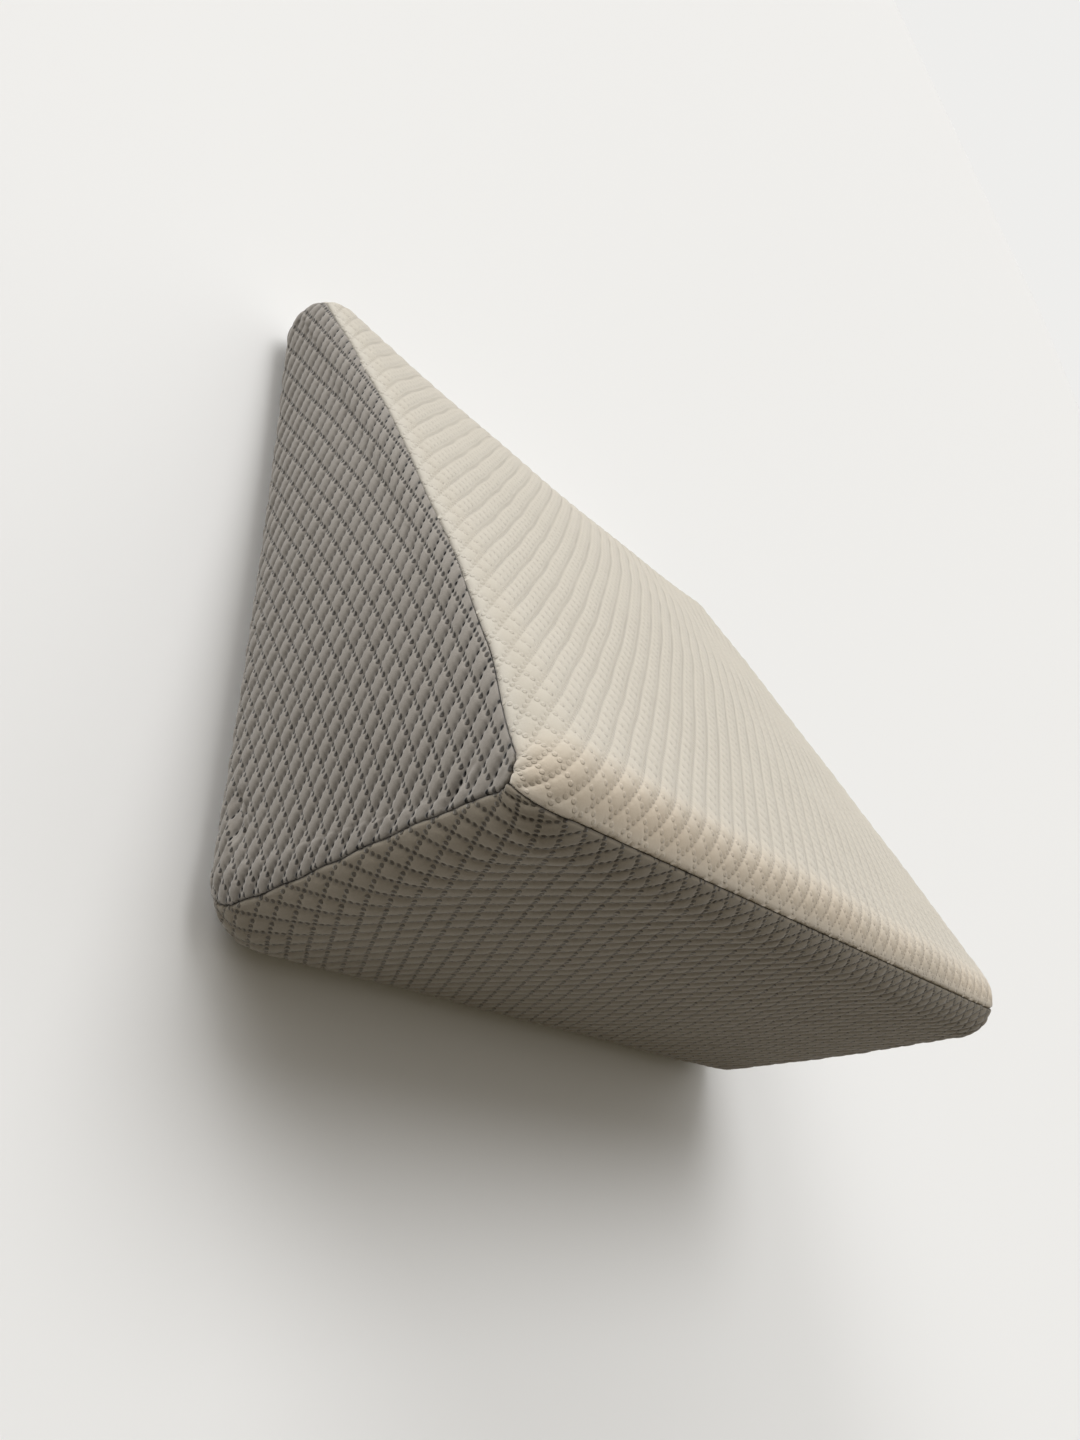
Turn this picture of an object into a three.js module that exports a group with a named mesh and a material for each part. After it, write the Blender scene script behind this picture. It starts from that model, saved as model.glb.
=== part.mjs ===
// Wedge pillow: a filled wedge whose underside is its grey base cloth, with four
// more quilted cloth panels sewn round it: a cream top that rolls over the thin
// edge, a grey back, and a grey panel on each end.
//
// Millimetres, +Z up. X runs across the pillow from end to end, Y from the thin
// edge (-Y) to the tall back (+Y), and the flat base lies at Z = 0.

import * as THREE from 'three';

// Overall sizes
const WIDTH = 600;
const LENGTH = 550;
const HEIGHT = 285;

// Radii of the three long edges, seen from the end
const TIP_RADIUS = 35;
const HEEL_RADIUS = 46;
const TOP_RADIUS = 34;

// An end's own rounding is this much smaller than the long edge that it meets
const CORNER_CORE = 5;

// Cloth: its thickness, its clearance from the body under it and, at a seam, from
// the seam's line, how far it dips there, and how far off it starts to dip
const CLOTH = 3;
const GAP = 0.6;
const SEAM_HALF = 0.5;
const SEAM_DIP = 1.2;
const SEAM_SHOULDER = 5;

// How far each face swells, and how far the three edges of an end and the thin
// edge are drawn in at their middles. The thin edge's pull grows as this power of
// the way from the pillow's middle, and is down to a little near its two ends.
const TOP_CROWN = 13;
const BACK_CROWN = 6;
const END_SWELL = 9;
const BASE_EDGE_DRAW = 3.3;
const BACK_EDGE_DRAW = 1.3;
const TOP_EDGE_DRAW = 6.8;
const TIP_DRAW = 14;
const TIP_DRAW_REACH = 3;
const TIP_DRAW_NEAR_ENDS = 2.7;

// Places round the profile, from 0 at the start of the base: each whole number
// starts the next stretch of the table STRETCHES
const SEAM_BASE_BACK = 1.5;
const SEAM_BACK_TOP = 3.46;
const SEAM_TOP_BASE = 5.6;
const PROFILE_PLACES = 6;

// The seam between back and top runs aslant, by this much from the middle to an end
const BACK_TOP_SLANT = -0.08;

// Steps in the meshes, and the least distance of a row from a seam's shoulder
const MIDDLE_STEPS = 14;
const PANEL_ROUND_STEPS = 2;
const END_ROUND_STEPS = 2;
const END_FLAT_STEPS = 4;
const ROW_CLEARANCE = 2.5;
const SAME_PLACE = 1e-6;
const PLACE_STEP = 0.01;

const CREAM = 0xd8d1c2;
const GREY = 0x807b74;

// The three long edges, as circles in the Y-Z plane
const tip = {
  y: -LENGTH / 2 - TIP_DRAW_NEAR_ENDS + TIP_RADIUS,
  z: TIP_RADIUS,
  radius: TIP_RADIUS,
};
const heel = {
  y: LENGTH / 2 - BACK_CROWN - HEEL_RADIUS,
  z: HEEL_RADIUS,
  radius: HEEL_RADIUS,
};
const top = {
  y: LENGTH / 2 - BACK_CROWN - TOP_RADIUS,
  z: HEIGHT - TOP_RADIUS,
  radius: TOP_RADIUS,
};

// Direction in which the slope faces: square to the line that touches both the
// tip's circle and the top's
const SLOPE_ANGLE = Math.atan2(top.z - tip.z, top.y - tip.y)
  + Math.asin((top.radius - tip.radius) / Math.hypot(top.z - tip.z, top.y - tip.y));
const FACE_DOWN = -Math.PI / 2;
const FACE_BACK = 0;
const FACE_SLOPE = Math.PI / 2 + SLOPE_ANGLE;
const FACE_DOWN_AGAIN = FACE_DOWN + 2 * Math.PI;

// Going round the profile: the circles that each stretch runs between, the way it
// faces at its start and end, its mesh steps, how far it swells at its middle, and
// how far the edges at its two ends are drawn in there
const STRETCHES = [
  {
    from: tip, to: heel, starts: FACE_DOWN, stops: FACE_DOWN,
    steps: 9, crown: 0, draw: BASE_EDGE_DRAW,
  },
  {
    from: heel, to: heel, starts: FACE_DOWN, stops: FACE_BACK,
    steps: 6, crown: 0, draw: 0,
  },
  {
    from: heel, to: top, starts: FACE_BACK, stops: FACE_BACK,
    steps: 5, crown: BACK_CROWN, draw: BACK_EDGE_DRAW,
  },
  {
    from: top, to: top, starts: FACE_BACK, stops: FACE_SLOPE,
    steps: 8, crown: 0, draw: 0,
  },
  {
    from: top, to: tip, starts: FACE_SLOPE, stops: FACE_SLOPE,
    steps: 15, crown: TOP_CROWN, draw: TOP_EDGE_DRAW,
  },
  {
    from: tip, to: tip, starts: FACE_SLOPE, stops: FACE_DOWN_AGAIN,
    steps: 7, crown: 0, draw: 0,
  },
];

// How far round an end's rounding its seam lies, in degrees from the long faces
const END_SEAM = [
  { place: 0, degrees: 38 },
  { place: 0.7, degrees: 44 },
  { place: 1, degrees: 56 },
  { place: 2, degrees: 59 },
  { place: 3, degrees: 77 },
  { place: 3.46, degrees: 78 },
  { place: 3.75, degrees: 79 },
  { place: 4, degrees: 77 },
  { place: 4.15, degrees: 58 },
  { place: 4.3, degrees: 49 },
  { place: 4.45, degrees: 47 },
  { place: 4.6, degrees: 42 },
  { place: 4.8, degrees: 43 },
  { place: 5, degrees: 45 },
  { place: 6, degrees: 38 },
];

// The flat of an end, inside its rounding, is a triangle. Each edge lies this way
// from the middle, through a point that stands off the circles' centres.
const END_EDGES = [
  { facing: FACE_DOWN, through: tip, draw: BASE_EDGE_DRAW },
  { facing: FACE_BACK, through: heel, draw: BACK_EDGE_DRAW },
  { facing: FACE_SLOPE, through: top, draw: TOP_EDGE_DRAW },
].map(({ facing, through, draw }) => {
  const y = Math.cos(facing);
  const z = Math.sin(facing);
  return { y, z, reach: through.y * y + through.z * z + CORNER_CORE, draw };
});

// Where two edges meet
function crossing(a, b) {
  const spread = a.y * b.z - a.z * b.y;
  return {
    y: (a.reach * b.z - b.reach * a.z) / spread,
    z: (b.reach * a.y - a.reach * b.y) / spread,
  };
}

const endCorners = END_EDGES.map((edge, i) => {
  return crossing(END_EDGES[(i + 1) % 3], END_EDGES[(i + 2) % 3]);
});

const endMiddle = {
  y: (endCorners[0].y + endCorners[1].y + endCorners[2].y) / 3,
  z: (endCorners[0].z + endCorners[1].z + endCorners[2].z) / 3,
};

// How near a point of an end's flat is to each corner, from 0 on the edge that
// faces the corner to 1 on the corner
function nearCorners(y, z) {
  return END_EDGES.map((edge, i) => {
    const depth = edge.reach - y * edge.y - z * edge.z;
    const corner = endCorners[i];
    return depth / (edge.reach - corner.y * edge.y - corner.z * edge.z);
  });
}

// How far an end's flat stands out from the plane of its three corners. An arch is
// 1 at the middle of its edge and 0 on the other edges, and the dome is 1 at the
// flat's middle and 0 on all three.
function endRise(y, z) {
  const near = nearCorners(y, z);
  const dome = 27 * near[0] * near[1] * near[2];
  const drawn = END_EDGES.reduce((sum, edge, i) => {
    const arch = 4 * near[(i + 1) % 3] * near[(i + 2) % 3];
    return sum + edge.draw * arch;
  }, 0);
  return END_SWELL * dome - drawn;
}

const END_PLANE = WIDTH / 2 - endRise(endMiddle.y, endMiddle.z);

function mix(a, b, share) {
  return a + (b - a) * share;
}

function ease(share) {
  return share * share * (3 - 2 * share);
}

function wrap(place) {
  return ((place % PROFILE_PLACES) + PROFILE_PLACES) % PROFILE_PLACES;
}

// Centre, radius and facing direction of the profile at a place
function profileAt(place) {
  const wrapped = wrap(place);
  const stretch = STRETCHES[Math.floor(wrapped)];
  const share = wrapped - Math.floor(wrapped);
  const angle = mix(stretch.starts, stretch.stops, share);
  return {
    y: mix(stretch.from.y, stretch.to.y, share),
    z: mix(stretch.from.z, stretch.to.z, share),
    radius: mix(stretch.from.radius, stretch.to.radius, share),
    facing: { y: Math.cos(angle), z: Math.sin(angle) },
    swell: Math.sin(Math.PI * share) * stretch.crown,
    draw: 4 * share * (1 - share) * stretch.draw,
  };
}

// Places across the pillow run from -3 to 3: up to 1 on the long faces, from 1 to
// 2 round an end's rounding, and from 2 to 3 over an end's flat to its middle
const ROUND_STARTS = 1;
const FLAT_STARTS = 2;
const FLAT_MIDDLE = 3;

// The slant of the seam between back and top, eased out towards the faces on
// either side of it and over an end's flat
function slantedPlace(place, across) {
  const wrapped = wrap(place);
  const below = (wrapped - 3) / (SEAM_BACK_TOP - 3);
  const above = (4 - wrapped) / (4 - SEAM_BACK_TOP);
  const nearSeam = Math.max(Math.min(below, above), 0);
  const held = Math.min(Math.max(across, -FLAT_STARTS), FLAT_STARTS);
  const left = Math.min(FLAT_MIDDLE - Math.abs(across), 1);
  return wrapped + BACK_TOP_SLANT * nearSeam * held * left;
}

// Where an end's seam lies across the pillow
function endSeamAt(place) {
  const wrapped = wrap(place);
  const next = END_SEAM.findIndex((row) => row.place > wrapped);
  const a = END_SEAM[next - 1];
  const b = END_SEAM[next];
  const share = ease((wrapped - a.place) / (b.place - a.place));
  return ROUND_STARTS + mix(a.degrees, b.degrees, share) / 90;
}

// A point of the pillow's surface, or of the surface that lies inset below it
function surfacePoint(place, across, inset) {
  const p = profileAt(slantedPlace(place, across));
  const side = Math.sign(across);
  const reach = Math.abs(across);
  const rounding = p.radius - CORNER_CORE;
  const straight = END_PLANE - rounding;
  const turn = (Math.min(Math.max(reach - ROUND_STARTS, 0), 1) * Math.PI) / 2;
  const out = CORNER_CORE + (rounding - inset) * Math.cos(turn);
  const flat = Math.max(reach - FLAT_STARTS, 0);
  const flatY = mix(p.y + p.facing.y * out, endMiddle.y, flat);
  const flatZ = mix(p.z + p.facing.z * out, endMiddle.z, flat);

  const straightShare = Math.min(reach, ROUND_STARTS);
  const bare = straight * straightShare + rounding * Math.sin(turn);
  const alongWidth = bare / END_PLANE;
  const away = 1 - alongWidth * alongWidth;
  const thin = Math.max(-(p.y + p.facing.y * p.radius) / (LENGTH / 2), 0) ** TIP_DRAW_REACH;
  const rise = reach > FLAT_STARTS
    ? endRise(flatY, flatZ)
    : -p.draw * alongWidth * alongWidth;

  return new THREE.Vector3(
    side * (bare - inset * Math.sin(turn) + rise),
    flatY + p.facing.y * p.swell * away + TIP_DRAW * thin * away,
    flatZ + p.facing.z * p.swell * away,
  );
}

// How far one place further along the profile carries a point, in millimetres
function lengthOfPlace(place) {
  const before = surfacePoint(place - PLACE_STEP, 0, 0);
  const after = surfacePoint(place + PLACE_STEP, 0, 0);
  return before.distanceTo(after) / (2 * PLACE_STEP);
}

// Places of the mesh rows round the whole profile, with one on each seam and one
// on each side of it, at its shoulder
function allPlaces() {
  const places = [];
  STRETCHES.forEach((stretch, index) => {
    for (let i = 0; i < stretch.steps; i += 1) {
      places.push(index + i / stretch.steps);
    }
  });
  const seams = [SEAM_BASE_BACK, SEAM_BACK_TOP, SEAM_TOP_BASE];
  const special = seams.flatMap((seam) => {
    const shoulder = SEAM_SHOULDER / lengthOfPlace(seam);
    return [seam - shoulder, seam, seam + shoulder];
  });
  const nearest = (place) => Math.min(...seams.map((seam) => {
    return Math.abs(place - seam) * lengthOfPlace(seam);
  }));
  const clear = places.filter((place) => nearest(place) > SEAM_SHOULDER + ROW_CLEARANCE);
  return [...clear, ...special].sort((a, b) => a - b);
}

const PLACES = allPlaces();

// The rows from one seam to the next, the first and last just clear of the seams
function placesBetween(start, stop, clearance) {
  const turns = [0, PROFILE_PLACES];
  const rows = turns.flatMap((turn) => PLACES.map((place) => place + turn));
  const inside = rows.filter((place) => place > start + SAME_PLACE && place < stop - SAME_PLACE);
  return [
    start + clearance / lengthOfPlace(start),
    ...inside,
    stop - clearance / lengthOfPlace(stop),
  ];
}

// How far across a length in millimetres reaches on an end's rounding
function acrossTurn(place, millimetres) {
  const rounding = profileAt(place).radius - CORNER_CORE;
  return millimetres / ((rounding * Math.PI) / 2);
}

// The across-places of the cloth between the two end seams. Those near a seam
// follow it, so each is a function of the place round the profile.
function panelColumns(clearance) {
  const half = [];
  for (let i = MIDDLE_STEPS / 2 - 1; i > -1; i -= 1) {
    half.push(() => 1 - i / (MIDDLE_STEPS / 2));
  }
  for (let i = 1; i < PANEL_ROUND_STEPS; i += 1) {
    half.push((place) => mix(1, endSeamAt(place) - acrossTurn(place, SEAM_SHOULDER),
      i / PANEL_ROUND_STEPS));
  }
  half.push((place) => endSeamAt(place) - acrossTurn(place, SEAM_SHOULDER));
  half.push((place) => endSeamAt(place) - acrossTurn(place, clearance));
  const mirrored = [...half].reverse().map((column) => (place) => -column(place));
  return [...mirrored, () => 0, ...half];
}

// The same for an end panel, from its seam nearly to its middle
function endColumns(clearance) {
  const columns = [
    (place) => endSeamAt(place) + acrossTurn(place, clearance),
    (place) => endSeamAt(place) + acrossTurn(place, SEAM_SHOULDER),
  ];
  for (let i = 1; i <= END_ROUND_STEPS; i += 1) {
    columns.push((place) => mix(endSeamAt(place) + acrossTurn(place, SEAM_SHOULDER),
      FLAT_STARTS, i / END_ROUND_STEPS));
  }
  for (let i = 1; i < END_FLAT_STEPS; i += 1) {
    columns.push(() => FLAT_STARTS + i / END_FLAT_STEPS);
  }
  return columns;
}

// Collects points and faces, and turns them into a closed mesh that faces out
class Solid {
  constructor() {
    this.points = [];
    this.faces = [];
  }

  add(point) {
    this.points.push(point);
    return this.points.length - 1;
  }

  grid(rows, columns, pointAt) {
    return rows.map((row, i) => columns.map((column, j) => this.add(pointAt(row, column, i, j))));
  }

  quad(a, b, c, d) {
    this.faces.push([a, b, c], [a, c, d]);
  }

  // Faces between neighbouring rows of indices, closed on themselves if asked
  skin(rows, closed, flip) {
    const count = closed ? rows.length : rows.length - 1;
    for (let i = 0; i < count; i += 1) {
      const here = rows[i];
      const next = rows[(i + 1) % rows.length];
      for (let j = 0; j + 1 < here.length; j += 1) {
        if (flip) {
          this.quad(here[j], here[j + 1], next[j + 1], next[j]);
        } else {
          this.quad(here[j], next[j], next[j + 1], here[j + 1]);
        }
      }
    }
  }

  // Faces from a closed ring of indices to one point
  fan(ring, pole, flip) {
    ring.forEach((a, i) => {
      const b = ring[(i + 1) % ring.length];
      this.faces.push(flip ? [b, a, pole] : [a, b, pole]);
    });
  }

  volume() {
    return this.faces.reduce((sum, [a, b, c]) => {
      const cross = new THREE.Vector3().crossVectors(this.points[b], this.points[c]);
      return sum + this.points[a].dot(cross) / 6;
    }, 0);
  }

  mesh(name, color) {
    const outward = this.volume() > 0;
    const order = outward ? this.faces : this.faces.map(([a, b, c]) => [c, b, a]);
    const geometry = new THREE.BufferGeometry();
    const positions = this.points.flatMap((point) => point.toArray());
    geometry.setAttribute('position', new THREE.Float32BufferAttribute(positions, 3));
    geometry.setIndex(order.flat());
    geometry.computeVertexNormals();
    const material = new THREE.MeshStandardMaterial({ color, roughness: 0.92, metalness: 0 });
    const mesh = new THREE.Mesh(geometry, material);
    mesh.name = name;
    return mesh;
  }
}

// A panel that wraps the long faces from end seam to end seam
function longPanel(name, color, start, stop) {
  const rows = placesBetween(start, stop, SEAM_HALF);
  const columns = panelColumns(SEAM_HALF);
  const atEdge = (i, j) => i === 0 || j === 0 || i === rows.length - 1 || j === columns.length - 1;
  const solid = new Solid();
  const outer = solid.grid(rows, columns, (place, across, i, j) => {
    return surfacePoint(place, across(place), atEdge(i, j) ? SEAM_DIP : 0);
  });
  const inner = solid.grid(rows, columns, (place, across) => {
    return surfacePoint(place, across(place), CLOTH);
  });
  solid.skin(outer, false, false);
  solid.skin(inner, false, true);
  const last = rows.length - 1;
  solid.skin([inner[0], outer[0]], false, false);
  solid.skin([outer[last], inner[last]], false, false);
  solid.skin([outer.map((row) => row[0]), inner.map((row) => row[0])], false, false);
  solid.skin([inner.map((row) => row.at(-1)), outer.map((row) => row.at(-1))], false, false);
  return solid.mesh(name, color);
}

// A panel over one end, from its seam to its middle. Its columns run the same way
// across as the body's, so that the faces of both are split alike.
function endPanel(name, color, side) {
  const near = side > 0;
  const fromSeam = endColumns(SEAM_HALF);
  const columns = near ? fromSeam : [...fromSeam].reverse();
  const seamColumn = near ? 0 : columns.length - 1;
  const middleColumn = columns.length - 1 - seamColumn;
  const solid = new Solid();
  const layer = (seamInset, inset) => solid.grid(PLACES, columns, (place, across, i, j) => {
    return surfacePoint(place, side * across(place), j === seamColumn ? seamInset : inset);
  });
  const outer = layer(SEAM_DIP, 0);
  const inner = layer(CLOTH, CLOTH);
  solid.skin(outer, true, false);
  solid.skin(inner, true, true);
  solid.fan(outer.map((row) => row[middleColumn]), solid.add(endMiddlePoint(side, 0)), !near);
  solid.fan(inner.map((row) => row[middleColumn]), solid.add(endMiddlePoint(side, CLOTH)), near);
  const edge = outer.map((row, i) => {
    const pair = [inner[i][seamColumn], row[seamColumn]];
    return near ? pair : pair.reverse();
  });
  solid.skin(edge, true, false);
  return solid.mesh(name, color);
}

function endMiddlePoint(side, inset) {
  return surfacePoint(0, side * FLAT_MIDDLE, inset);
}

// The filled wedge: its base stands out as far as the cloth of the panels, and
// the rest lies under them
function filledBody(name, color) {
  const under = CLOTH + GAP;
  const start = SEAM_TOP_BASE;
  const stop = SEAM_BASE_BACK + PROFILE_PLACES;
  const baseRows = placesBetween(start, stop, SEAM_HALF);
  const restRows = PLACES.filter((place) => place >= SEAM_BASE_BACK && place <= SEAM_TOP_BASE);
  const rows = [
    ...baseRows.map((place) => ({ place, base: true })),
    ...restRows.map((place) => ({ place, base: false })),
  ];
  const seam = (place) => endSeamAt(place);
  const baseColumns = panelColumns(SEAM_HALF).map((across) => ({ across, base: true }));
  const near = [seam, ...endColumns(0).slice(1)].map((across) => ({ across, base: false }));
  const far = near.map(({ across }) => ({ across: (place) => -across(place), base: false }));
  const columns = [...far.reverse(), ...baseColumns, ...near];
  const last = baseRows.length - 1;
  const solid = new Solid();
  const ring = solid.grid(rows, columns, (row, column, i, j) => {
    const raised = row.base && column.base;
    const rim = i === 0 || i === last || j === far.length || j === columns.length - near.length - 1;
    const raisedInset = rim ? SEAM_DIP : 0;
    return surfacePoint(row.place, column.across(row.place), raised ? raisedInset : under);
  });
  solid.skin(ring, true, false);
  solid.fan(ring.map((row) => row[0]), solid.add(endMiddlePoint(-1, under)), true);
  solid.fan(ring.map((row) => row.at(-1)), solid.add(endMiddlePoint(1, under)), false);
  return solid.mesh(name, color);
}

const pillow = new THREE.Group();
pillow.add(filledBody('filled_body', GREY));
pillow.add(longPanel('top_panel', CREAM, SEAM_BACK_TOP, SEAM_TOP_BASE));
pillow.add(longPanel('back_panel', GREY, SEAM_BASE_BACK, SEAM_BACK_TOP));
pillow.add(endPanel('end_panel_near', GREY, 1));
pillow.add(endPanel('end_panel_far', GREY, -1));

export default pillow;
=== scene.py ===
"""A wedge pillow in its fitted, quilted cloth cover, dressed over the CAD model.

The pillow is a filled wedge with a grey base, and four more panels are sewn round
it: a cream top that rolls over the thin edge, a grey back and a grey panel on each
end. Everything is in metres, +Z up. X runs from end to end, Y from the thin edge
(-Y) to the tall back (+Y), and the base lies at Z = 0.
"""

from __future__ import annotations

import logging
import math
from dataclasses import dataclass, field, replace
from enum import Enum

import bpy
import numpy as np
from mathutils import Matrix, Vector


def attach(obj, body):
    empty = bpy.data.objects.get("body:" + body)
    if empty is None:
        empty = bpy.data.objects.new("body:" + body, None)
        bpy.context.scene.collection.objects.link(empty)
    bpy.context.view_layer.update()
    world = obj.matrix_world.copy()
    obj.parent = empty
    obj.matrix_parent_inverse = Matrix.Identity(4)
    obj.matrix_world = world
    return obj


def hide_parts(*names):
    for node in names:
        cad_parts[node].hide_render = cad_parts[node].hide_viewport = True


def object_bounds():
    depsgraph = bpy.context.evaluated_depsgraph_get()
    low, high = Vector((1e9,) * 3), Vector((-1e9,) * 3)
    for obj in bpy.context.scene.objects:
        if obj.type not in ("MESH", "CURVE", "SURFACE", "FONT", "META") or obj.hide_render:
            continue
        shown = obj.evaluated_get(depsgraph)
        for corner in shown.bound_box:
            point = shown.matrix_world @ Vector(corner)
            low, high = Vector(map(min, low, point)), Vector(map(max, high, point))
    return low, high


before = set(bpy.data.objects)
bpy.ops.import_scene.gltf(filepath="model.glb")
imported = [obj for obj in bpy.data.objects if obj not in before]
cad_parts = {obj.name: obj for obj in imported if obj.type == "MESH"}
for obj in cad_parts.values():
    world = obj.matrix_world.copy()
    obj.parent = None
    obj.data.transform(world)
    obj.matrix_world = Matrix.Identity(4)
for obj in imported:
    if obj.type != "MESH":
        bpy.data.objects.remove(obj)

CAD_LOW, CAD_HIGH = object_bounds()
MM = 0.001
DECIMETRE = 0.1
Array = np.ndarray
Pair = tuple[float, float]
Triple = tuple[float, float, float]

logging.basicConfig(level=logging.INFO, format="%(message)s")
log = logging.getLogger("wedge_pillow")


class Slot(Enum):
    """The record's two cloths."""

    GREY = "grey_cloth"
    CREAM = "cream_cloth"


class End(Enum):
    """The two ends of the pillow, as the sign of X."""

    NEAR = 1
    FAR = -1


def smooth(share: Array) -> Array:
    """Eased 0 to 1: three times the square less twice the cube, held at both ends."""
    held = np.clip(share, 0, 1)
    return held * held * (3 - 2 * held)


@dataclass(frozen=True)
class LongEdge:
    """A long edge of the wedge, as a circle seen from the end."""

    y: float
    z: float
    radius: float


@dataclass
class WedgeForm:
    """The filled wedge's surface, as a function of two places.

    The place round the profile runs from 0 to 6: the base, the heel's arc, the
    back, the top edge's arc, the slope and the tip's arc. The place across runs
    from -3 to 3: up to 1 on the long faces, then round an end's rounding to 2, and
    from there over the end's flat to its middle.
    """

    width: float
    length: float
    height: float
    tip_radius: float = 35 * MM
    heel_radius: float = 46 * MM
    top_radius: float = 34 * MM
    core: float = 5 * MM
    top_crown: float = 13 * MM
    back_crown: float = 6 * MM
    end_swell: float = 9 * MM
    base_draw: float = 3.3 * MM
    back_draw: float = 1.3 * MM
    top_draw: float = 6.8 * MM
    tip_draw: float = 14 * MM
    tip_draw_reach: float = 3
    tip_draw_near_ends: float = 2.7 * MM
    seam_base_back: float = 1.5
    seam_back_top: float = 3.46
    seam_top_base: float = 5.6
    back_top_slant: float = -0.08
    end_seam_places: tuple[float, ...] = (
        0, 0.7, 1, 2, 3, 3.46, 3.75, 4, 4.15, 4.3, 4.45, 4.6, 4.8, 5, 6,
    )
    end_seam_degrees: tuple[float, ...] = (
        38, 44, 56, 59, 77, 79, 81, 77, 58, 49, 47, 42, 43, 45, 38,
    )
    seam_waver: float = 0.6
    seam_waves: float = 34
    seam_steps: int = 6001
    knots: Array = field(init=False, repr=False)
    angles: Array = field(init=False, repr=False)
    crowns: Array = field(init=False, repr=False)
    draws: Array = field(init=False, repr=False)
    end_plane: float = field(init=False, default=0.0)

    def __post_init__(self) -> None:
        """Sets out the long edges and the angles at which the faces meet them."""
        back = self.length / 2 - self.back_crown
        thin = -self.length / 2 - self.tip_draw_near_ends
        tip = LongEdge(thin + self.tip_radius, self.tip_radius, self.tip_radius)
        heel = LongEdge(back - self.heel_radius, self.heel_radius, self.heel_radius)
        top = LongEdge(back - self.top_radius, self.height - self.top_radius, self.top_radius)
        run, rise = top.y - tip.y, top.z - tip.z
        incline = math.atan2(rise, run)
        incline += math.asin((top.radius - tip.radius) / math.hypot(rise, run))
        down, slope = -math.pi / 2, math.pi / 2 + incline
        edges = (tip, heel, heel, top, top, tip, tip)
        self.knots = np.array([(edge.y, edge.z, edge.radius) for edge in edges])
        self.angles = np.array([down, down, 0, 0, slope, slope, down + 2 * math.pi])
        self.crowns = np.array([0, 0, self.back_crown, 0, self.top_crown, 0])
        self.draws = np.array([self.base_draw, 0, self.back_draw, 0, self.top_draw, 0])
        self.end_plane = self.width / 2 - float(self.end_rise(*self.end_middle()))

    def profile(self, place: Array) -> tuple[Array, ...]:
        """The profile at a place, each value blended evenly along its stretch.

        Args:
            place: places round the profile, from 0 to 6, or any turn more.

        Returns:
            Arrays of the centre's y and z, the radius, the facing angle, the swell
            and the pull at the ends.
        """
        wrapped = np.mod(place, 6)
        start = np.minimum(wrapped.astype(int), 5)
        share = wrapped - start
        centre = self.knots[start] + (self.knots[start + 1] - self.knots[start]) * share[..., None]
        angle = self.angles[start] + (self.angles[start + 1] - self.angles[start]) * share
        swell = np.sin(np.pi * share) * self.crowns[start]
        draw = 4 * share * (1 - share) * self.draws[start]
        return centre[..., 0], centre[..., 1], centre[..., 2], angle, swell, draw

    def end_edges(self) -> tuple[Array, Array]:
        """The three edges of an end's flat.

        Returns:
            Their outward normals, and how far along these they lie.
        """
        normals = np.stack([np.cos(self.angles[[0, 2, 4]]), np.sin(self.angles[[0, 2, 4]])], -1)
        reaches = (self.knots[[0, 2, 4], :2] * normals).sum(-1) + self.core
        return normals, reaches

    def end_corners(self) -> Array:
        """The three corners of an end's flat.

        Returns:
            Their y and z, each corner under the number of the edge that it faces.
        """
        normals, reaches = self.end_edges()
        pairs = [[1, 2], [2, 0], [0, 1]]
        return np.array([np.linalg.solve(normals[pair], reaches[pair]) for pair in pairs])

    def end_middle(self) -> Pair:
        """The middle of an end's flat, in y and z."""
        y, z = self.end_corners().mean(0)
        return y, z

    def end_rise(self, y: Array, z: Array) -> Array:
        """How far an end's flat stands out from the plane of its three corners.

        With the nearness to each corner running from 0 on the far edge to 1 on the
        corner, the dome is 27 times the product of the three, and each edge's arch
        is 4 times the product of the nearness to its two corners.

        Args:
            y, z: the point, in the plane of the flat.

        Returns:
            The rise, less than nothing where the edges draw in.
        """
        normals, reaches = self.end_edges()
        corners = self.end_corners()
        depths = reaches - (corners * normals).sum(-1)
        near = [
            (reach - y * normal[0] - z * normal[1]) / depth
            for normal, reach, depth in zip(normals, reaches, depths)
        ]
        dome = 27 * near[0] * near[1] * near[2]
        base, back, slope = self.draws[[0, 2, 4]]
        drawn = base * near[1] * near[2] + back * near[2] * near[0] + slope * near[0] * near[1]
        return self.end_swell * dome - 4 * drawn

    def slanted(self, place: Array, across: Array) -> Array:
        """The place once the seam between back and top is set aslant.

        The shift eases to nothing on both sides of the seam.

        Args:
            place: places round the profile, from 0 to 6.
            across: places across, from -3 to 3.

        Returns:
            The shifted places round the profile.
        """
        below = (place - 3) / (self.seam_back_top - 3)
        above = (4 - place) / (4 - self.seam_back_top)
        near = np.maximum(np.minimum(below, above), 0)
        held = np.clip(across, -2, 2)
        left = np.minimum(3 - np.abs(across), 1)
        return place + self.back_top_slant * near * held * left

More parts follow.
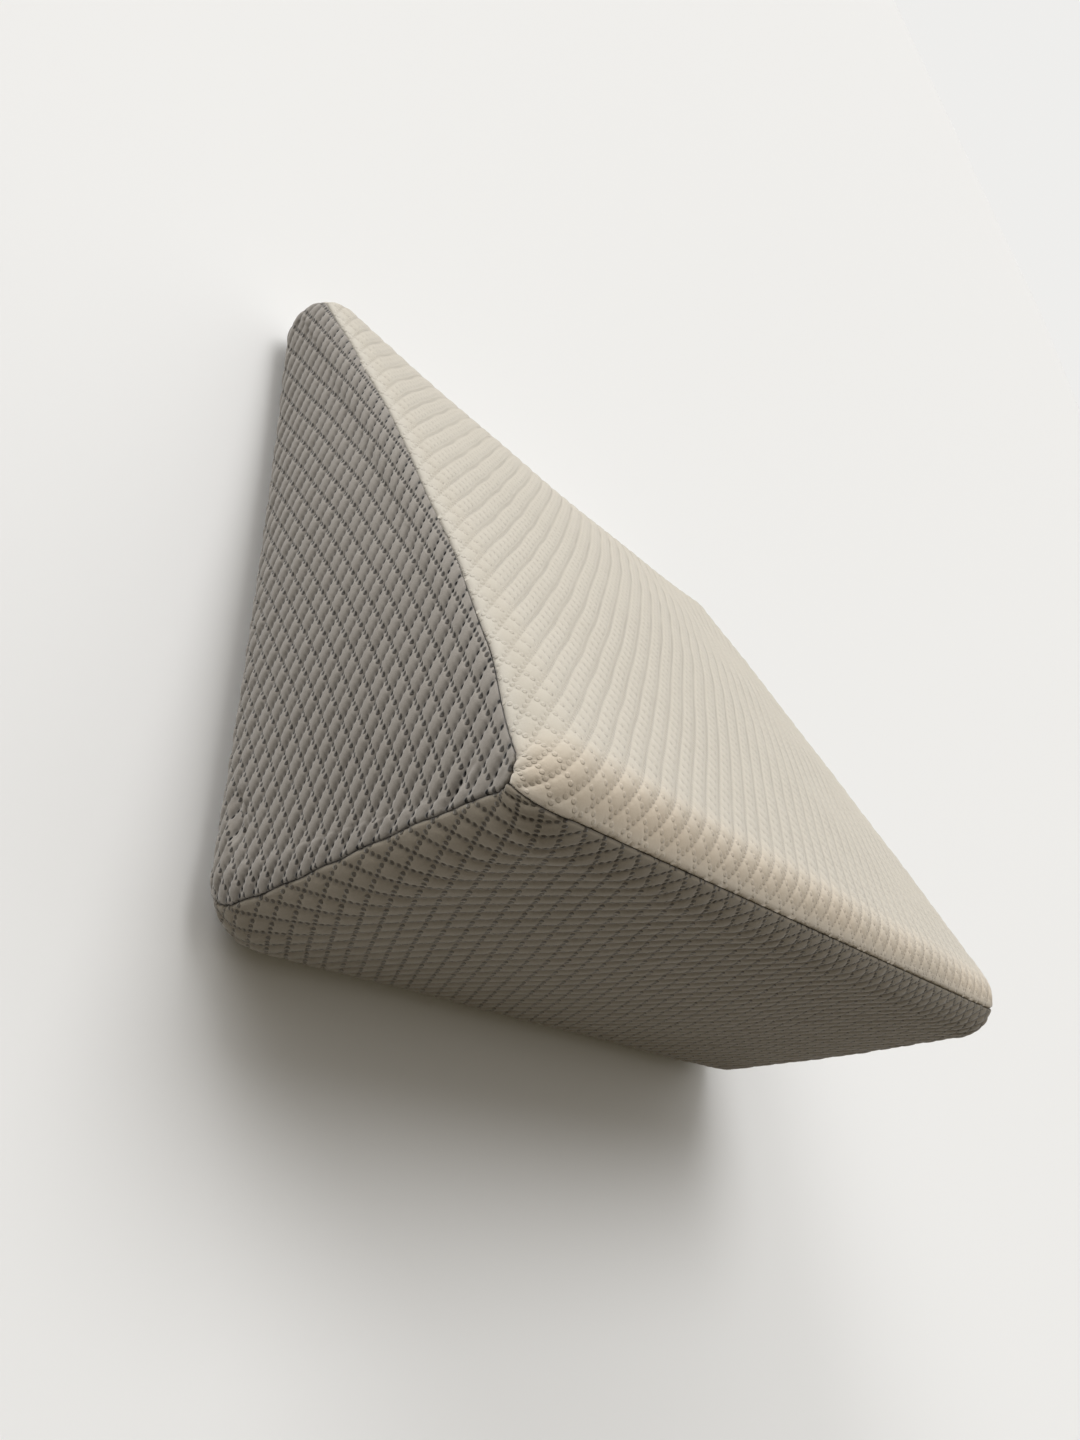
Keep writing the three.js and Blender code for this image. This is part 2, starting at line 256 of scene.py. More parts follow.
    def end_seam(self, place: Array, side: int) -> Array:
        """How far across an end's seam lies, at true places round the profile.

        It eases from row to row of the table, and wavers by a small sine.

        Args:
            place: places round the profile.
            side: 1 at the near end and -1 at the far end.

        Returns:
            The seam's places across, from 1 to 2.
        """
        along = np.linspace(0, 6, self.seam_steps)
        rows = np.array(self.end_seam_places)
        degrees = np.array(self.end_seam_degrees, float)
        row = np.clip(np.searchsorted(rows, along, side="right") - 1, 0, len(rows) - 2)
        share = smooth((along - rows[row]) / (rows[row + 1] - rows[row]))
        waver = self.seam_waver * np.sin(self.seam_waves * along + 2 * np.sin(3 * along) + side)
        across = 1 + (degrees[row] + (degrees[row + 1] - degrees[row]) * share + waver) / 90
        true = self.slanted(along, side * across)
        return np.interp(np.mod(place, 6), true, across)

    def end_seam_beside(self, place: Array, across: Array) -> Array:
        """How far across the end seam lies on each point's own side."""
        return np.where(across < 0, self.end_seam(place, -1), self.end_seam(place, 1))

    def rounding(self, place: Array) -> tuple[Array, Array, Array]:
        """The radius of an end's rounding, the half width up to it, and the cloth round it."""
        radius = self.profile(place)[2] - self.core
        return radius, self.end_plane - radius, radius * np.pi / 2

    def across_at(self, cloth: Array, place: Array) -> Array:
        """The place across of a length of cloth from the pillow's middle.

        Args:
            cloth: lengths of cloth, less than nothing towards the far end.
            place: places round the profile.

        Returns:
            The places across, from -2 to 2.
        """
        _, straight, quarter = self.rounding(place)
        reach = np.abs(cloth)
        beyond = np.minimum((reach - straight) / quarter, 1)
        return np.sign(cloth) * np.where(reach < straight, reach / straight, 1 + beyond)

    def cloth_to(self, place: Array, across: Array) -> Array:
        """The length of cloth from the pillow's middle to a place on an end's rounding."""
        radius, straight, _ = self.rounding(place)
        return straight + (across - 1) * radius * np.pi / 2

    def lengths(self, places: Array) -> Array:
        """The length of cloth from the first place to each, along the pillow's middle.

        Args:
            places: places round the profile, in order.

        Returns:
            The lengths, as the sum of the straight steps so far.
        """
        line = self.point(places, np.zeros_like(places), 0.0)
        steps = np.linalg.norm(np.diff(line, axis=0), axis=1)
        return np.concatenate([[0], np.cumsum(steps)])

    def point(self, place: Array, across: Array, inset: Array | float) -> Array:
        """A point of the surface, or of the one that lies inset below it.

        The profile's point moves along the width up to the rounding, then turns a
        quarter round it, and runs over the flat to its middle. The crown swells the
        faces by the square of the distance from the ends, and the pull narrows the
        width and draws in the thin edge.

        Args:
            place: places round the profile, from 0 to 6, or any turn more.
            across: places across, from -3 to 3.
            inset: how far below the surface the point lies.

        Returns:
            The points, with x, y and z last.
        """
        y, z, radius, angle, swell, draw = self.profile(np.asarray(place, float))
        side, reach = np.sign(across), np.abs(across)
        rounding = radius - self.core
        straight = self.end_plane - rounding
        turn = np.clip(reach - 1, 0, 1) * np.pi / 2
        out = self.core + (rounding - inset) * np.cos(turn)
        flat = np.maximum(reach - 2, 0)
        face_y, face_z = np.cos(angle), np.sin(angle)
        middle_y, middle_z = self.end_middle()
        flat_y = (y + face_y * out) * (1 - flat) + middle_y * flat
        flat_z = (z + face_z * out) * (1 - flat) + middle_z * flat
        bare = straight * np.minimum(reach, 1) + rounding * np.sin(turn)
        along = bare / self.end_plane
        away = 1 - along**2
        thin = np.maximum(-(y + face_y * radius) / (self.length / 2), 0) ** self.tip_draw_reach
        rise = np.where(reach > 2, self.end_rise(flat_y, flat_z), -draw * along**2)
        return np.stack([
            side * (bare - inset * np.sin(turn) + rise),
            flat_y + face_y * swell * away + self.tip_draw * thin * away,
            flat_z + face_z * swell * away,
        ], -1)

    def place_of(self, y: Array, z: Array) -> tuple[Array, Array]:
        """The place round the profile that a point of an end's plane faces.

        Each straight stretch is read back along its own facing, and each arc by
        its angle about its circle.

        Args:
            y, z: the point, in the end's plane.

        Returns:
            The place, and how far out from the circles' centres the point lies.
        """
        place, out = np.zeros_like(y), np.full_like(y, -1.0)
        for stretch in (0, 2, 4):
            first, last = self.knots[stretch], self.knots[stretch + 1]
            face_y, face_z = math.cos(self.angles[stretch]), math.sin(self.angles[stretch])
            run_y, run_z = last[0] - first[0], last[1] - first[1]
            off_y, off_z = y - first[0], z - first[1]
            spread = run_y * face_z - run_z * face_y
            share = (off_y * face_z - off_z * face_y) / spread
            reach = (run_y * off_z - run_z * off_y) / spread
            inside = (share >= 0) & (share <= 1) & (reach > out)
            place = np.where(inside, stretch + share, place)
            out = np.where(inside, reach, out)
        for stretch in (1, 3, 5):
            corner = self.knots[stretch]
            begin, span = self.angles[stretch], self.angles[stretch + 1] - self.angles[stretch]
            off_y, off_z = y - corner[0], z - corner[1]
            share = np.mod(np.arctan2(off_z, off_y) - begin, 2 * np.pi) / span
            inside = (share <= 1) & (out <= 0)
            place = np.where(inside, stretch + share, place)
            out = np.where(inside, np.hypot(off_y, off_z), out)
        return place, out


@dataclass(frozen=True)
class Quilting:
    """The diamonds in which the cloth is stitched, and how they puff and pit.

    A diamond's sides have three stitches each. Cells are counted along two slanted
    families of stitch lines, so that a point's two cell numbers are whole on a line.
    """

    long: float = 20.3 * MM
    short: float = 14.3 * MM
    puff: float = 2.3 * MM
    dome: float = 0.3
    shallow: float = 0.06
    bridge: float = 0.8 * MM
    pit: float = 1.2 * MM
    valley: float = 2.1 * MM
    lean: float = 0.6 * MM
    pit_width: float = 1.1 * MM
    waver: float = 0.35 * MM
    waves_across: Pair = (0.017, 0.041)
    waves_along: Pair = (0.013, 0.037)
    uneven: float = 0.14
    uneven_turns: Pair = (2.4, 1.7)

    def cells(self, u: Array, v: Array) -> tuple[Array, Array]:
        """A cloth point's two cell numbers: u over the width, plus and less v over the length.

        The point is first moved by two small sines, as no cloth is stitched quite evenly.

        Args:
            u, v: the cloth point's ways across and along the diamonds.

        Returns:
            The first and the second family's cell numbers.
        """
        quick, slow = self.waves_across
        across = u + self.waver * np.sin(v / quick + 2 * np.sin(u / slow))
        quick, slow = self.waves_along
        along = v + self.waver * np.sin(u / quick + 2 * np.sin(v / slow))
        return across / self.short + along / self.long, across / self.short - along / self.long

    def relief(self, u: Array, v: Array) -> Array:
        """How far the quilted cloth stands above its stitch lines.

        A pad rises from both families of lines as one less a bell curve of its
        distance, and domes by the squares of the distances from its own middle. The
        second family is the shallower, and the first leans to one side. Between two
        stitches a line of the first rises by a squared sine, and at each stitch a
        bell-shaped pit goes down.

        Args:
            u, v: the cloth point's ways across and along.

        Returns:
            The height in metres.
        """
        first, second = self.cells(u, v)
        spacing = 1 / math.hypot(1 / self.short, 1 / self.long)
        off_first, off_second = (cell - np.round(cell) for cell in (first, second))
        fall_first = np.exp(-(((off_first * spacing + self.lean) / self.valley) ** 2))
        fall_second = np.exp(-((off_second * spacing / self.valley) ** 2))
        dome = (1 - (1 - 2 * np.abs(off_first)) ** 2) * (1 - (1 - 2 * np.abs(off_second)) ** 2)
        pad = (1 - fall_first) * (1 - self.shallow * fall_second)
        pad = pad * (1 - self.dome + self.dome * dome)
        ridges = fall_first * np.sin(3 * np.pi * second) ** 2
        thirds = [cell - np.round(3 * cell) / 3 for cell in (first, second)]
        apart = ((thirds[0] + thirds[1]) * self.short / 2) ** 2
        apart = apart + ((thirds[0] - thirds[1]) * self.long / 2) ** 2
        pits = np.exp(-apart / self.pit_width**2) * self.near_line(off_first, off_second)
        turn, curl = self.uneven_turns
        tall = 1 + self.uneven * np.sin(turn * np.floor(first) + curl * np.floor(second) ** 2)
        return self.puff * tall * pad + self.bridge * ridges - self.pit * pits

    @staticmethod
    def near_line(first: Array, second: Array) -> Array:
        """Falls from 1 on a stitch line to 0 a sixth of a cell off both families."""
        return 1 - smooth(6 * np.minimum(np.abs(first), np.abs(second)))


@dataclass(frozen=True)
class Pucker:
    """A soft ridge or trough in a panel, from one cloth point to another."""

    start: Pair
    stop: Pair
    width: float
    height: float

    def relief(self, u: Array, v: Array) -> Array:
        """Its height: a bell curve of the distance from the line between its two points.

        Args:
            u, v: the cloth point on the panel.

        Returns:
            The height, less than nothing in a trough.
        """
        run_u, run_v = self.stop[0] - self.start[0], self.stop[1] - self.start[1]
        off_u, off_v = u - self.start[0], v - self.start[1]
        share = np.clip((off_u * run_u + off_v * run_v) / (run_u**2 + run_v**2), 0, 1)
        apart = (off_u - share * run_u) ** 2 + (off_v - share * run_v) ** 2
        return self.height * np.exp(-apart / self.width**2)


@dataclass(frozen=True)
class Drape:
    """How a panel's even stitching is pulled out of true on the pillow.

    Each way on the panel is a cubic of the two ways s and t on the even cloth, in
    decimetres about a middle. Its factors belong to 1, s, t, ss, st, tt, sss, sst,
    stt and ttt.
    """

    middle: Pair = (0.0, 0.0)
    across: tuple[float, ...] = (0, 1)
    along: tuple[float, ...] = (0, 0, 1)

    def pull(self, s: Array, t: Array) -> tuple[Array, Array]:
        """Where a point of the even cloth comes to lie on the panel.

        Args:
            s, t: the point's two ways on the even cloth.

        Returns:
            Its two ways u and v on the panel.
        """
        s, t = s / DECIMETRE, t / DECIMETRE
        terms = (np.ones_like(s), s, t, s * s, s * t, t * t, s**3, s * s * t, s * t * t, t**3)
        u = sum(factor * term for factor, term in zip(self.across, terms))
        v = sum(factor * term for factor, term in zip(self.along, terms))
        return self.middle[0] + u * DECIMETRE, self.middle[1] + v * DECIMETRE


@dataclass
class Lay:
    """A panel's flat net: points on the even cloth and on the panel, triangles and rim."""

    s: Array
    t: Array
    u: Array
    v: Array
    triangles: Array
    rim: Array
    rim_edges: Array


def build_mesh(
    name: str, points: Array, faces: Array, cells: Array, margins: Array,
) -> bpy.types.Object:
    """Puts points, triangles and each point's place on the cloth into a new mesh object.

    Args:
        name: the piece's name.
        points: an array of N x 3 coordinates.
        faces: an array of M x 3 point numbers, turning anticlockwise seen from outside.
        cells: an array of N x 2 cell numbers, kept as the UV map "cloth".
        margins: an array of N distances to the nearest open seam, kept as the attribute "margin".

    Returns:
        The new object, linked to the scene and shaded smooth.
    """
    mesh = bpy.data.meshes.new(name)
    mesh.vertices.add(len(points))
    mesh.vertices.foreach_set("co", points.astype(np.float32).ravel())
    mesh.loops.add(faces.size)
    mesh.loops.foreach_set("vertex_index", faces.astype(np.int32).ravel())
    mesh.polygons.add(len(faces))
    mesh.polygons.foreach_set("loop_start", np.arange(0, faces.size, 3, dtype=np.int32))
    mesh.polygons.foreach_set("use_smooth", np.ones(len(faces), bool))
    mesh.update(calc_edges=True)
    layer = mesh.uv_layers.new(name="cloth")
    layer.data.foreach_set("uv", cells[faces.ravel()].astype(np.float32).ravel())
    margin = mesh.attributes.new("margin", "FLOAT", "POINT")
    margin.data.foreach_set("value", margins.astype(np.float32))
    mesh.validate()
    piece = bpy.data.objects.new(name, mesh)
    bpy.context.scene.collection.objects.link(piece)
    return piece


@dataclass
class ClothPanel:
    """A quilted panel, sewn in at its rim.

    Its net of triangles follows the stitch lines: the points stand half a stitch
    apart, or less by the fineness, and those nearest the outline are moved onto it.
    """

    form: WedgeForm
    name: str
    slot: Slot
    quilting: Quilting = Quilting()
    puckers: tuple[Pucker, ...] = ()
    drape: Drape = Drape()
    fineness: float = 1.0
    clearance: float = 0.25 * MM
    roll: float = 3.0 * MM
    roll_depth: float = 1.5 * MM
    flatten: float = 9 * MM
    rim_relief: float = 0.35
    slack: float = 0.03
    rim_depths: tuple[float, ...] = (0.7 * MM, 1.6 * MM, 3.0 * MM)
    waviness: float = 0.5 * MM
    wave_across: Pair = (0.031, 0.052)
    wave_along: Pair = (0.043, 0.7)
    wave_bend: float = 1.3
    wave_margin: float = 0.03

    def reach(self) -> tuple[float, float, float, float]:
        """The least and most u, and the least and most v, that the net has to cover."""
        raise NotImplementedError

    def margin(self, u: Array, v: Array) -> Array:
        """How far inside the outline a cloth point lies, less than nothing outside."""
        raise NotImplementedError

    def settle(self, u: Array, v: Array, near: float) -> tuple[Array, Array]:
        """The cloth points, with those nearer the outline than near moved onto it."""
        raise NotImplementedError

    def point(self, u: Array, v: Array, inset: Array) -> Array:
        """The point in space of a cloth point, inset below the pillow's surface."""
        raise NotImplementedError

    def openness(self, u: Array, v: Array) -> Array:
        """How open the nearest seam is, from 0, flush, to 1, a groove."""
        return np.ones_like(u)

    def lay_out(self) -> Lay:
        """Lays the net: rows half a stitch apart, each second row set off by half a column.

        Returns:
            The points and triangles inside the outline, and those of them on the rim.
        """
        low_u, high_u, low_v, high_v = self.reach()
        step_u = self.quilting.short / 6 / self.fineness
        step_v = self.quilting.long / 12 / self.fineness
        slack = self.slack * (high_u - low_u + high_v - low_v)
        middle_u, middle_v = self.drape.middle
        first, last = ((edge - middle_u) / step_u for edge in (low_u - slack, high_u + slack))
        columns = np.arange(math.floor(first), math.ceil(last))
        first, last = ((edge - middle_v) / step_v for edge in (low_v - slack, high_v + slack))
        rows = np.arange(math.floor(first), math.ceil(last))
        column, row = np.meshgrid(columns, rows)
        odd = np.mod(row, 2)
        s, t = (column + odd / 2) * step_u, row * step_v
        u, v = self.drape.pull(s, t)
        near = step_u / 2
        hair = 0.02 * near
        u, v = self.settle(u, v, near)
        margin = self.margin(u, v)
        count = np.arange(u.size).reshape(u.shape)
        a, b = count[:-1, :-1], count[:-1, 1:]
        c, d = count[1:, :-1], count[1:, 1:]
        even = (odd[:-1, :-1] == 0)[..., None]
        lower = np.where(even, np.stack([a, b, c], -1), np.stack([a, b, d], -1))
        upper = np.where(even, np.stack([b, d, c], -1), np.stack([a, d, c], -1))
        triangles = np.concatenate([lower.reshape(-1, 3), upper.reshape(-1, 3)])
        inside = margin.ravel() > -hair
        middle = self.margin(u.ravel()[triangles].mean(1), v.ravel()[triangles].mean(1))
        triangles = triangles[inside[triangles].all(1) & (middle > 0)]
        used, triangles = np.unique(triangles, return_inverse=True)
        triangles = triangles.reshape(-1, 3)
        size = len(used)
        edges = np.concatenate([triangles[:, [0, 1]], triangles[:, [1, 2]], triangles[:, [2, 0]]])
        there, back = edges[:, 0] * size + edges[:, 1], edges[:, 1] * size + edges[:, 0]
        rim_edges = edges[~np.isin(there, back)]
        s, t, u, v = (way.ravel()[used] for way in (s, t, u, v))
        return Lay(s, t, u, v, triangles, np.unique(rim_edges), rim_edges)

    def inset(self, lay: Lay) -> Array:
        """How far the cloth lies below the pillow's plain surface.

        The quilting's relief, the panel's soft waves and its puckers raise it, and
        it rolls down to an open seam as the square of the nearness to the rim.

        Args:
            lay: the panel's flat net.

        Returns:
            The inset of each point, less than nothing where it stands out.
        """
        u, v = lay.u, lay.v
        margin = self.margin(u, v)
        full = self.rim_relief + (1 - self.rim_relief) * smooth(margin / self.flatten)
        height = full * (self.quilting.relief(lay.s, lay.t) - self.quilting.puff)
        bend = self.wave_bend * np.sin(v / self.wave_across[1])
        wave = np.sin(u / self.wave_across[0] + bend)
        wave = wave * np.sin(v / self.wave_along[0] + self.wave_along[1])
        height = height + self.waviness * wave * smooth(margin / self.wave_margin)
        for pucker in self.puckers:
            height = height + pucker.relief(u, v)
        rolled = self.roll_depth * np.clip(1 - margin / self.roll, 0, 1) ** 2
        return self.openness(u, v) * rolled - height

    def build(self) -> bpy.types.Object:
        """Builds the panel: its net on the pillow, and a rim turned down into the seam.

        Returns:
            The panel's object.
        """
        lay = self.lay_out()
        inset = self.inset(lay)
        points, faces = [self.point(lay.u, lay.v, inset)], [lay.triangles]
        cells = np.stack(self.quilting.cells(lay.s, lay.t), -1)
        # Beside a flush seam the margin kept for the shader is pushed out, so that no painted seam
        # shade falls there.
        closed = 1 - self.openness(lay.u, lay.v)
        uvs, margins = [cells], [self.margin(lay.u, lay.v) + closed * self.flatten]
        number = np.zeros(len(lay.u), int)
        number[lay.rim] = np.arange(len(lay.rim))
        first, second = lay.rim_edges.T
        upper = np.arange(len(lay.u))
        for depth in self.rim_depths:
            lower = len(np.concatenate(points)) + number
            faces.append(np.stack([upper[second], upper[first], lower[first]], -1))
            faces.append(np.stack([upper[second], lower[first], lower[second]], -1))
            rim_u, rim_v = lay.u[lay.rim], lay.v[lay.rim]
            points.append(self.point(rim_u, rim_v, inset[lay.rim] + depth))
            uvs.append(cells[lay.rim])
            margins.append(margins[0][lay.rim])
            upper = lower
        parts = (np.concatenate(part) for part in (points, faces, uvs, margins))
        return build_mesh(self.name, *parts)


@dataclass
class LongPanel(ClothPanel):
    """A panel that wraps the long faces between two seams of the profile.

    It runs from end seam to end seam. Its u runs across the pillow and its v along
    the profile, both as lengths of cloth.
    """

    start: float = 0.0
    stop: float = 1.0
    beyond: float = 0.4
    measures: int = 3001
    places: Array = field(init=False, repr=False)
    lengths: Array = field(init=False, repr=False)

    def __post_init__(self) -> None:
        """Measures the profile's length at fine steps along the pillow's middle."""
        first, last = self.start - self.beyond, self.stop + self.beyond
        self.places = np.linspace(first, last, self.measures)
        lengths = self.form.lengths(self.places)
        self.lengths = lengths - np.interp(self.start, self.places, lengths)

    def place(self, v: Array) -> Array:
        """The place round the profile at a length of cloth."""
        return np.interp(v, self.lengths, self.places)

    def length(self, place: Array) -> Array:
        """The length of cloth at a place round the profile."""
        return np.interp(place, self.places, self.lengths)

    def limits(self, u: Array, v: Array) -> tuple[Array, Array, Array]:
        """The v of the two long seams at a point's u, and the u of the end seam at its v.

        Args:
            u, v: the cloth point on the panel.

        Returns:
            The three limits, each a clearance inside its seam.
        """
        seams = []
        for seam in (self.start, self.stop):
            across = self.form.across_at(u, np.full_like(u, seam))
            turns = math.floor(seam / 6) * 6
            seams.append(self.length(self.form.slanted(seam - turns, across) + turns))
        place = self.place(v)
        end = self.form.cloth_to(place, self.form.end_seam_beside(place, u))
        return seams[0] + self.clearance, seams[1] - self.clearance, end - self.clearance

    def reach(self) -> tuple[float, float, float, float]:
        """The box of the panel's cloth, from its widest place and its two long seams."""
        wide = self.form.width / 2 + self.form.heel_radius
        return -wide, wide, 0.0, float(self.length(self.stop))

    def margin(self, u: Array, v: Array) -> Array:
        """The least distance to the two long seams and to the end seam on the point's side."""
        low, high, end = self.limits(u, v)
        return np.minimum(np.minimum(v - low, high - v), end - np.abs(u))

    def settle(self, u: Array, v: Array, near: float) -> tuple[Array, Array]:
        """Moves points near a long seam along v, and then those near an end seam along u.

        Args:
            u, v: the cloth points.
            near: how far from a seam a point may be moved.

        Returns:
            The moved cloth points.
        """
        low, high, _ = self.limits(u, v)
        v = np.where(np.abs(v - low) < near, low, v)
        v = np.where(np.abs(v - high) < near, high, v)
        _, _, end = self.limits(u, v)
        u = np.where(np.abs(np.abs(u) - end) < near, np.sign(u) * end, u)
        return u, v

    def point(self, u: Array, v: Array, inset: Array) -> Array:
        """The pillow's point at the cloth's place round and across."""
        place = self.place(v)
        return self.form.point(place, self.form.across_at(u, place), inset)

    def flat_size(self) -> Pair:
        """The panel's size as it was cut.

        Returns:
            Its width and its length.
        """
        middle = np.array([float(self.length((self.start + self.stop) / 2))])
        end = float(self.limits(np.zeros(1), middle)[2][0])
        return 2 * end, float(self.length(self.stop))

    def flat_area(self) -> float:
        """The area of the rectangle as it was cut."""
        width, length = self.flat_size()
        return width * length


@dataclass
class EndPanel(ClothPanel):
    """A panel over one end, from its seam to its middle.

    Its u runs up the end and its v from the thin edge to the back. Outside the
    end's flat a point is carried back round the rounding by its distance. Its seam
    with the top is nearly flush, and the others are open.
    """

    end: End = End.NEAR
    flush: float = 0.2
    flush_ease: float = 0.3
    outline_points: int = 1200

    def seam_distance(self, place: Array) -> Array:
        """How far outside the flat the seam lies, as a length of cloth."""
        radius = self.form.rounding(place)[0]
        return (2 - self.form.end_seam(place, self.end.value)) * radius * np.pi / 2

    def reach(self) -> tuple[float, float, float, float]:
        """The box of the end's flat and all that lies round it.

        Returns:
            The least and the greatest z, then the least and the greatest y.
        """
        round_it = self.form.heel_radius
        y, z, _ = self.form.knots.T
        return z.min() - round_it, z.max() + round_it, y.min() - round_it, y.max() + round_it

    def margin(self, u: Array, v: Array) -> Array:
        """The distance to the seam, along the way that the profile faces."""
        place, out = self.form.place_of(v, u)
        return self.seam_distance(place) - (out - self.form.core) - self.clearance

    def openness(self, u: Array, v: Array) -> Array:
        """Little beside the top panel, and full elsewhere, eased from one to the other.

        Args:
            u, v: the cloth points.

        Returns:
            The openness, from flush to 1.
        """
        place, _ = self.form.place_of(v, u)
        below = (place - self.form.seam_back_top) / self.flush_ease
        above = (self.form.seam_top_base - place) / self.flush_ease
        return 1 - (1 - self.flush) * smooth(np.minimum(below, above))

    def settle(self, u: Array, v: Array, near: float) -> tuple[Array, Array]:
        """Moves points near the seam onto it, along the way that the profile faces.

        Args:
            u, v: the cloth points.
            near: how far from the seam a point may be moved.

        Returns:
            The moved cloth points.
        """
        for _ in range(2):
            place, _ = self.form.place_of(v, u)
            margin = self.margin(u, v)
            angle = self.form.profile(place)[3]
            move = np.where(np.abs(margin) < near, margin, 0)
            u, v = u + np.sin(angle) * move, v + np.cos(angle) * move
        return u, v

    def point(self, u: Array, v: Array, inset: Array) -> Array:
        """The pillow's point: on the flat, its own place stood out, or else one on the rounding.

        Args:
            u, v: the cloth points.
            inset: how far below the surface each lies.

        Returns:
            The points, with x, y and z last.
        """
        place, out = self.form.place_of(v, u)
        quarter = self.form.rounding(place)[2]
        across = 2 - np.maximum(out - self.form.core, 0) / quarter
        side = self.end.value
        round_it = self.form.point(place, side * np.minimum(across, 2), inset)
        x = side * (self.form.end_plane + self.form.end_rise(v, u) - inset)
        on_flat = np.stack([x, v, u], -1)
        return np.where((out <= self.form.core)[..., None], on_flat, round_it)

    def outline(self) -> tuple[Array, Array]:
        """The outline of the panel as it was cut: the seam, laid out flat.

        Returns:
            Its z and its y values, point by point round the panel.
        """
        places = np.linspace(0, 6, self.outline_points, endpoint=False)
        y, z, _, angle, _, _ = self.form.profile(places)
        out = self.form.core + self.seam_distance(places)
        return z + np.sin(angle) * out, y + np.cos(angle) * out

    def flat_size(self) -> Pair:
        """The height and length of the panel as it was cut."""
        u, v = self.outline()
        return float(np.ptp(u)), float(np.ptp(v))

    def flat_area(self) -> float:
        """The area inside the outline: half the sum of its points' cross products in turn."""
        u, v = self.outline()
        return float(abs(np.sum(u * np.roll(v, -1) - v * np.roll(u, -1))) / 2)


